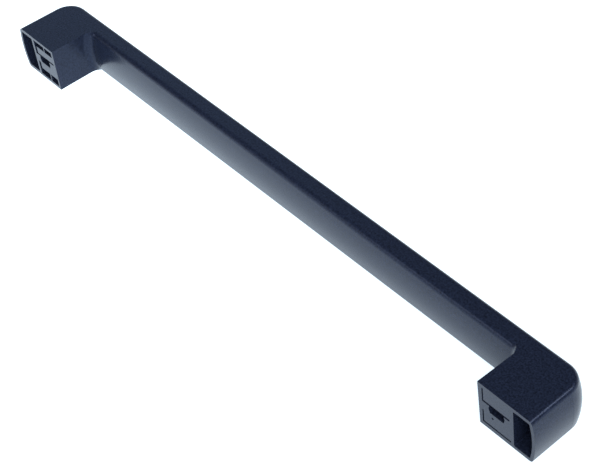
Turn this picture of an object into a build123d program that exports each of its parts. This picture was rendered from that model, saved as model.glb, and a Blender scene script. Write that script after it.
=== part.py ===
"""One-piece moulded pull handle: a straight grip bar with a hollow foot at each end.

X runs along the bar, Z up through the flat side faces, and Y out of the door.
The feet stand on the plane Y = 0 and the front of the bar is at +Y.
Sizes are in millimetres.
"""
import os
from math import radians, sqrt, tan

from build123d import *

# Whole handle
length = 400.0            # over the crowned end walls, at the mounting plane
width = 27.0              # between the two flat side faces
clearance = 23.8          # mounting plane to the inner face of the bar, at mid-width
bar_depth = 13.3          # inner face to front face of the bar, at mid-width
end_lean_deg = 1.5        # each end wall leans inward towards the front

# Outer skin: a crowned face with rounded edges that runs round both corners
crown_r = 48.0
edge_r = 2.45
corner_r = 13.0

# Inner face of the bar
grip_crown_r = 57.0
grip_edge_r = 3.2

# Feet
foot_depth = 34.3         # end wall to inner wall, along X, on the upper side face
foot_draft = 0.66         # outward lean of the inner wall over the full width
throat_r = 4.5            # concave corner between the inner wall and the bar

# Outer pocket of each foot
end_wall = 1.8            # at the rim
upper_wall = 2.0
lower_wall = 2.0
pocket_corner_r = 0.7
pocket_floor = 13.0       # front face to the bottom of the pocket
r_pocket_inset = 12.8     # end wall to the partition, right foot
l_pocket_inset = 13.0     # the same, left foot

# Fixing socket, a slot with a slit to both sides, the same way round in both feet
socket_inset = 23.0       # end wall to the middle of the slot
slot_width = 9.9
slot_height = 4.9
slot_z = 0.85
slot_bevel = 0.8          # the ends of the slot are slightly pointed
slot_depth = 18.0
slit_height = 1.2
slit_z = 3.3
gap_depth = 14.0          # of the slit and of the narrow gaps

# Right foot: narrow gaps beside the inner wall and the lower wall
r_inner_wall = 2.5
r_partition = 1.8
r_upper_wall = 2.1
r_lower_wall = 2.4
r_gap_width = 0.8
r_floor_gap_width = 1.0
r_slit_reach = 7.8        # middle of the slot to the closed end of the slit
r_bridge = 1.2            # solid height between the slot and the lower gap
dimple_r = 0.6
dimple_set = 2.6          # from the middle of the slot
dimple_z = -4.4
dimple_depth = 2.0

# Left foot: gaps beside the partition, and ribbed cavities along both side walls
l_inner_wall = 1.8
l_partition = 1.9
l_side_wall = 1.75
l_gap_width = 2.1
l_slit_reach = 9.2
l_bridge = 1.0
l_upper_cavity = 3.3
l_lower_cavity = 4.9
l_rib_set = 2.1           # from the middle of the slot
l_rib_t = 0.8
cavity_depth = 20.0

# Derived sizes
half_length = length / 2
half_width = width / 2
front = clearance + bar_depth
end_lean = tan(radians(end_lean_deg))
overrun = 2.0             # material below the mounting plane, trimmed away
overlap = 1.2             # how far the skin and the cores run into each other
skin_margin = 0.3         # the skin stops this far short of the bar's rounded inner edge
grip_set = grip_crown_r - sqrt((grip_crown_r - grip_edge_r) ** 2 - (half_width - grip_edge_r) ** 2)
skin_depth = bar_depth - grip_set - skin_margin
core_inset = skin_depth - overlap
core_front = front - core_inset
inner_x = half_length - foot_depth
core_spare = throat_r + overrun   # the feet stand this far over each side face until they are trimmed
core_width = width + 2 * core_spare
core_draft = foot_draft * core_width / width
core_x = inner_x - foot_draft * core_spare / width
socket_x = half_length - socket_inset
slot_bottom = slot_z - slot_height / 2
slit_top = slit_z + slit_height / 2
slit_bottom = slit_z - slit_height / 2


def outer_x(y, inset=0.0):
    """Distance from the middle of the handle to the end wall at height y off the door."""
    return half_length - end_lean * y - inset


def skin_section(plane):
    """Crowned band with rounded edges; its local x points out of the handle."""
    with BuildSketch(plane) as section:
        with Locations((-skin_depth, 0)):
            Rectangle(2 * skin_depth, width, align=(Align.MIN, Align.CENTER))
        with Locations((-crown_r, 0)):
            Circle(crown_r, mode=Mode.INTERSECT)
        fillet(section.vertices().sort_by(Axis.X)[-2:], edge_r)
    return section.sketch


def grip_section():
    """Bar without its front skin: crowned inner face with rounded edges."""
    with BuildSketch(Plane.YZ) as section:
        with Locations((clearance, 0)):
            Rectangle(core_front - clearance, width, align=(Align.MIN, Align.CENTER))
        with Locations((clearance + grip_crown_r, 0)):
            Circle(grip_crown_r, mode=Mode.INTERSECT)
        fillet(section.vertices().sort_by(Axis.X)[:2], grip_edge_r)
    return section.sketch


def foot_plan():
    """Right foot inside the skin, at the upper end of its spare width."""
    with BuildSketch(Plane.XY.offset(core_width / 2)) as plan:
        with BuildLine():
            Polyline(
                (core_x, -overrun),
                (core_x, core_front),
                (outer_x(core_front, core_inset), core_front),
                (outer_x(-overrun, core_inset), -overrun),
                close=True,
            )
        make_face()
    return plan.sketch


def pocket_section(inset):
    """Outer pocket of the right foot; its outer side follows the crowned end wall."""
    bottom = lower_wall - half_width
    with BuildSketch(Plane.XZ) as opening:
        with Locations((half_length - inset, bottom)):
            Rectangle(inset, width - upper_wall - lower_wall, align=(Align.MIN, Align.MIN))
        with Locations((half_length - crown_r, 0)):
            Circle(crown_r - end_wall, mode=Mode.INTERSECT)
        fillet(opening.vertices(), pocket_corner_r)
    return opening.sketch


def slot_section(x_middle):
    """Wide slot of the fixing socket, with slightly pointed ends."""
    half = slot_width / 2
    flat = half - slot_bevel
    top = slot_bottom + slot_height
    with BuildSketch(Plane.XZ) as opening:
        with BuildLine():
            Polyline(
                (x_middle - half, slot_z),
                (x_middle - flat, top),
                (x_middle + flat, top),
                (x_middle + half, slot_z),
                (x_middle + flat, slot_bottom),
                (x_middle - flat, slot_bottom),
                close=True,
            )
        make_face()
    return opening.sketch


def sink(section, depth):
    """Cut a section of the mounting plane into the foot."""
    extrude(section, amount=-depth, mode=Mode.SUBTRACT)


def recess(x_from, x_to, z_from, z_to, depth):
    """Cut a rectangular recess into the foot from the mounting plane."""
    with Locations((x_from, 0, z_from)):
        Box(
            x_to - x_from,
            depth,
            z_to - z_from,
            align=(Align.MIN, Align.MIN, Align.MIN),
            mode=Mode.SUBTRACT,
        )


def right_socket():
    """Cuts round the upper and the lower block of the right foot."""
    gap_from = inner_x + r_inner_wall
    gap_to = gap_from + r_gap_width
    floor = r_lower_wall - half_width
    sink(slot_section(socket_x), slot_depth)
    recess(gap_from, gap_to, slit_bottom, half_width - r_upper_wall, gap_depth)
    recess(gap_from, socket_x + r_slit_reach, slit_bottom, slit_top, gap_depth)
    recess(gap_from, gap_to, floor, slot_bottom - r_bridge, gap_depth)
    recess(gap_from, half_length - r_pocket_inset - r_partition, floor, floor + r_floor_gap_width, gap_depth)
    with BuildSketch(Plane.XZ) as dimple:
        with Locations((socket_x - dimple_set, dimple_z)):
            Circle(dimple_r)
    sink(dimple.sketch, dimple_depth)


def left_socket():
    """Cuts round the upper and the lower block of the left foot."""
    gap_from = l_pocket_inset + l_partition - half_length
    gap_to = gap_from + l_gap_width
    cavity_end = -inner_x - l_inner_wall
    rib_from = -socket_x + l_rib_set - l_rib_t / 2
    rib_to = rib_from + l_rib_t
    roof = half_width - l_side_wall
    floor = l_side_wall - half_width
    sink(slot_section(-socket_x), slot_depth)
    recess(gap_from, gap_to, slit_bottom, roof, gap_depth)
    recess(gap_from, -socket_x + l_slit_reach, slit_bottom, slit_top, gap_depth)
    recess(gap_from, gap_to, floor, slot_bottom - l_bridge, gap_depth)
    for z_from, z_to in ((roof - l_upper_cavity, roof), (floor, floor + l_lower_cavity)):
        recess(gap_from, rib_from, z_from, z_to, cavity_depth)
        recess(rib_to, cavity_end, z_from, z_to, cavity_depth)


with BuildPart() as half_core:
    # Right half of the bar without its front skin, run into the foot
    extrude(grip_section(), amount=inner_x + overlap)
    # Foot, made over-wide so that its corner with the bar runs out at the side faces
    extrude(foot_plan(), amount=sqrt(core_width ** 2 + core_draft ** 2), dir=(core_draft, 0, -core_width))
    fillet(half_core.edges(Select.NEW), throat_r)
    Box(2 * length, 4 * front, width, mode=Mode.INTERSECT)

with BuildPart() as handle:
    # Outer skin, swept up one end, along the front and down the other end
    with BuildLine() as outline:
        FilletPolyline(
            (-outer_x(-overrun), -overrun),
            (-outer_x(front), front),
            (outer_x(front), front),
            (outer_x(-overrun), -overrun),
            radius=corner_r,
        )
    skin_plane = Plane(outline.line @ 0, x_dir=(-1, end_lean, 0), z_dir=outline.line % 0)
    sweep(skin_section(skin_plane), path=outline.line)
    # Bar and feet inside the skin
    add(half_core.part)
    mirror(half_core.part, about=Plane.YZ)
    # Flat rims on the mounting plane
    Box(
        2 * length,
        2 * overrun,
        2 * width,
        align=(Align.CENTER, Align.MAX, Align.CENTER),
        mode=Mode.SUBTRACT,
    )
    # Openings in the rims
    sink(pocket_section(r_pocket_inset), front - pocket_floor)
    sink(mirror(pocket_section(l_pocket_inset), about=Plane.YZ, mode=Mode.PRIVATE), front - pocket_floor)
    right_socket()
    left_socket()

handle.part.label = "handle"
os.makedirs("parts", exist_ok=True)
export_step(handle.part, "parts/handle.step")
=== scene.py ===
"""Looks of the moulded pull handle: plastic, floor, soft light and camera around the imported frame."""
from math import pi, radians, tan

import bpy
from mathutils import Matrix, Vector


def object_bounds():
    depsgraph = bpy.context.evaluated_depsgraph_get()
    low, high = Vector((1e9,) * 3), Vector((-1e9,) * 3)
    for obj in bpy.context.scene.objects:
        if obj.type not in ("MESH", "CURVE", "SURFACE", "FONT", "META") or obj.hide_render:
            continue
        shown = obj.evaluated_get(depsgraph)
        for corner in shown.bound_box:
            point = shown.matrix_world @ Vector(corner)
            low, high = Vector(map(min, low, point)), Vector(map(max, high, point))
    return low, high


# Camera, fitted to the edges of the handle in the photograph
CAMERA_AT = Vector((0.5150, -0.3123, 0.5686))
CAMERA_TARGET = Vector((0.0291, 0.0113, 0.0))
CAMERA_ROLL_DEG = -8.8
CAMERA_CLIP_START = 0.01
FOCAL_MM = 101.7
SENSOR_MM = 36.0

# Light: far round softboxes, each seen from the handle in one direction
WHITE = (1.0, 1.0, 1.0)
COOL = (0.72, 1.0, 1.35)
SOFTBOX_DISTANCE = 4.0
SOFTBOXES = {
    "key": {"towards": (0.41, 0.46, 0.79), "half_angle_deg": 13.0, "radiance": 7.5, "colour": WHITE},
    "front": {"towards": (0.60, -0.40, 0.70), "half_angle_deg": 25.0, "radiance": 4.6, "colour": WHITE},
    "fill": {"towards": (-0.40, -0.78, 0.47), "half_angle_deg": 12.0, "radiance": 3.0, "colour": WHITE},
    "side": {"towards": (-0.80, 0.25, 0.50), "half_angle_deg": 20.0, "radiance": 0.42, "colour": COOL},
}

# Room: white up to WALL_TOP, below the horizon too, and dim from WALL_FADE up;
# both are heights of a unit direction
ROOM_COLOUR = (0.045, 0.050, 0.060, 1.0)
WALL_COLOUR = (1.0, 1.0, 1.0, 1.0)
WALL_TOP = 0.10
WALL_FADE = 0.36

# Floor: pale, with a glow of its own that falls evenly from left to right along the handle; the fall is
# painted light, standing in for light falling from the left
FLOOR_SIZE = 4.0
FLOOR_ALBEDO = 0.3
FLOOR_ROUGHNESS = 1.0
FLOOR_GLOW = (1.0, 1.19, 1.34, 1.0)
FLOOR_PAINTED_LIGHT_REACH = 0.2
FLOOR_PAINTED_LIGHT_FALL = 0.2

# Plastic
PLASTIC_COLOUR = (0.0107, 0.0151, 0.0310)
PLASTIC_GLOSS_TINT = (0.22, 0.27, 0.42, 1.0)
PLASTIC_ROUGHNESS = 0.24
PLASTIC_IOR = 1.5

# Grain: one noise drives the bump and the colour, which is darker or lighter by GRAIN_SHADE at its ends
GRAIN_SCALE = 1100.0
GRAIN_DETAIL = 4.0
GRAIN_ROUGHNESS = 0.6
GRAIN_HEIGHT = 0.00009
GRAIN_STRENGTH = 0.3
GRAIN_SHADE = 0.55
GRAIN_DARK_AT = 0.3
GRAIN_LIGHT_AT = 0.7


def new_material(name):
    """Material with one Principled shader; returns both."""
    material = bpy.data.materials.new(name)
    material.use_nodes = True
    nodes = material.node_tree.nodes
    nodes.clear()
    output = nodes.new("ShaderNodeOutputMaterial")
    shader = nodes.new("ShaderNodeBsdfPrincipled")
    material.node_tree.links.new(shader.outputs["BSDF"], output.inputs["Surface"])
    return material, shader


def set_stop(stop, position, colour):
    stop.position = position
    stop.color = colour


def grain_colour(gain):
    """Plastic's colour made lighter or darker, with alpha."""
    return [gain * value for value in PLASTIC_COLOUR] + [1.0]


def plastic_material():
    """Dark satin plastic with a fine moulded grain."""
    material, shader = new_material("satin_plastic")
    nodes = material.node_tree.nodes
    links = material.node_tree.links
    shader.inputs["Specular Tint"].default_value = PLASTIC_GLOSS_TINT
    shader.inputs["IOR"].default_value = PLASTIC_IOR
    shader.inputs["Roughness"].default_value = PLASTIC_ROUGHNESS
    place = nodes.new("ShaderNodeTexCoord")
    grain = nodes.new("ShaderNodeTexNoise")
    grain.inputs["Scale"].default_value = GRAIN_SCALE
    grain.inputs["Detail"].default_value = GRAIN_DETAIL
    grain.inputs["Roughness"].default_value = GRAIN_ROUGHNESS
    bump = nodes.new("ShaderNodeBump")
    bump.inputs["Strength"].default_value = GRAIN_STRENGTH
    bump.inputs["Distance"].default_value = GRAIN_HEIGHT
    shade = nodes.new("ShaderNodeValToRGB")
    dark, light = shade.color_ramp.elements
    set_stop(dark, GRAIN_DARK_AT, grain_colour(1 - GRAIN_SHADE))
    set_stop(light, GRAIN_LIGHT_AT, grain_colour(1 + GRAIN_SHADE))
    links.new(place.outputs["Object"], grain.inputs["Vector"])
    links.new(grain.outputs["Fac"], bump.inputs["Height"])
    links.new(grain.outputs["Fac"], shade.inputs["Fac"])
    links.new(shade.outputs["Color"], shader.inputs["Base Color"])
    links.new(bump.outputs["Normal"], shader.inputs["Normal"])
    return material


def floor_material():
    """Pale matt floor whose glow falls along X, a painted light falloff standing in for light from the
    left.
    """
    material, shader = new_material("pale_floor")
    nodes = material.node_tree.nodes
    links = material.node_tree.links
    shader.inputs["Base Color"].default_value = (FLOOR_ALBEDO, FLOOR_ALBEDO, FLOOR_ALBEDO, 1.0)
    shader.inputs["Roughness"].default_value = FLOOR_ROUGHNESS
    shader.inputs["Emission Color"].default_value = FLOOR_GLOW
    place = nodes.new("ShaderNodeTexCoord")
    axes = nodes.new("ShaderNodeSeparateXYZ")
    # Painted light: the glow is stronger on the left and weaker on the right, as if lit from the left
    fall = nodes.new("ShaderNodeMapRange")
    fall.inputs["From Min"].default_value = -FLOOR_PAINTED_LIGHT_REACH
    fall.inputs["From Max"].default_value = FLOOR_PAINTED_LIGHT_REACH
    fall.inputs["To Min"].default_value = 1 + FLOOR_PAINTED_LIGHT_FALL
    fall.inputs["To Max"].default_value = 1 - FLOOR_PAINTED_LIGHT_FALL
    links.new(place.outputs["Object"], axes.inputs["Vector"])
    links.new(axes.outputs["X"], fall.inputs["Value"])
    links.new(fall.outputs["Result"], shader.inputs["Emission Strength"])
    return material


def add_floor(height):
    bpy.ops.mesh.primitive_plane_add(size=FLOOR_SIZE, location=(0, 0, height))
    floor = bpy.context.object
    floor.name = "floor"
    floor.data.materials.append(floor_material())


def add_softbox(name, towards, half_angle_deg, radiance, colour):
    """Far round light aimed at the handle, whose face has the given radiance."""
    direction = Vector(towards).normalized()
    radius = SOFTBOX_DISTANCE * tan(radians(half_angle_deg))
    face_area = pi * radius ** 2
    light = bpy.data.lights.new(name, "AREA")
    light.shape = "DISK"
    light.size = 2 * radius
    light.energy = radiance * pi * face_area
    light.color = colour
    softbox = bpy.data.objects.new(name, light)
    softbox.location = direction * SOFTBOX_DISTANCE
    softbox.rotation_euler = direction.to_track_quat("Z", "Y").to_euler()
    bpy.context.scene.collection.objects.link(softbox)


def set_world():
    """Room colour by height above the horizon."""
    world = bpy.data.worlds.new("studio")
    world.use_nodes = True
    nodes = world.node_tree.nodes
    links = world.node_tree.links
    place = nodes.new("ShaderNodeTexCoord")
    axes = nodes.new("ShaderNodeSeparateXYZ")
    room = nodes.new("ShaderNodeValToRGB")
    wall, ceiling = room.color_ramp.elements
    set_stop(wall, WALL_TOP, WALL_COLOUR)
    set_stop(ceiling, WALL_FADE, ROOM_COLOUR)
    links.new(place.outputs["Generated"], axes.inputs["Vector"])
    links.new(axes.outputs["Z"], room.inputs["Fac"])
    links.new(room.outputs["Color"], nodes["Background"].inputs["Color"])
    bpy.context.scene.world = world


def add_camera():
    camera = bpy.data.cameras.new("camera")
    camera.lens = FOCAL_MM
    camera.sensor_width = SENSOR_MM
    camera.clip_start = CAMERA_CLIP_START
    holder = bpy.data.objects.new("camera", camera)
    look = (CAMERA_TARGET - CAMERA_AT).to_track_quat("-Z", "Y").to_matrix().to_4x4()
    roll = Matrix.Rotation(radians(CAMERA_ROLL_DEG), 4, "Z")
    holder.matrix_world = Matrix.Translation(CAMERA_AT) @ look @ roll
    bpy.context.scene.collection.objects.link(holder)
    bpy.context.scene.camera = holder


def corners(bounds):
    """Lowest and highest corner as plain lists of numbers."""
    return [[float(value) for value in corner] for corner in bounds]


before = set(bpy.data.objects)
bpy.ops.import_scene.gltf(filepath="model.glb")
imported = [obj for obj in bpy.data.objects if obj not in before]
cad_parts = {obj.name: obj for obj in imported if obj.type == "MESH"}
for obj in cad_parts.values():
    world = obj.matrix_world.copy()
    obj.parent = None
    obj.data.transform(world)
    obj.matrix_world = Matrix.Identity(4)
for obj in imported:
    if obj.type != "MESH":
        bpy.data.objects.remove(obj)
cad_bounds = corners(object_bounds())
lowest_corner = cad_bounds[0]
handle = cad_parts["handle"]
handle.material_slots[0].material = plastic_material()

add_floor(lowest_corner[2])
for name, settings in SOFTBOXES.items():
    add_softbox(name, **settings)
set_world()
add_camera()
bpy.context.scene.view_settings.view_transform = "Standard"
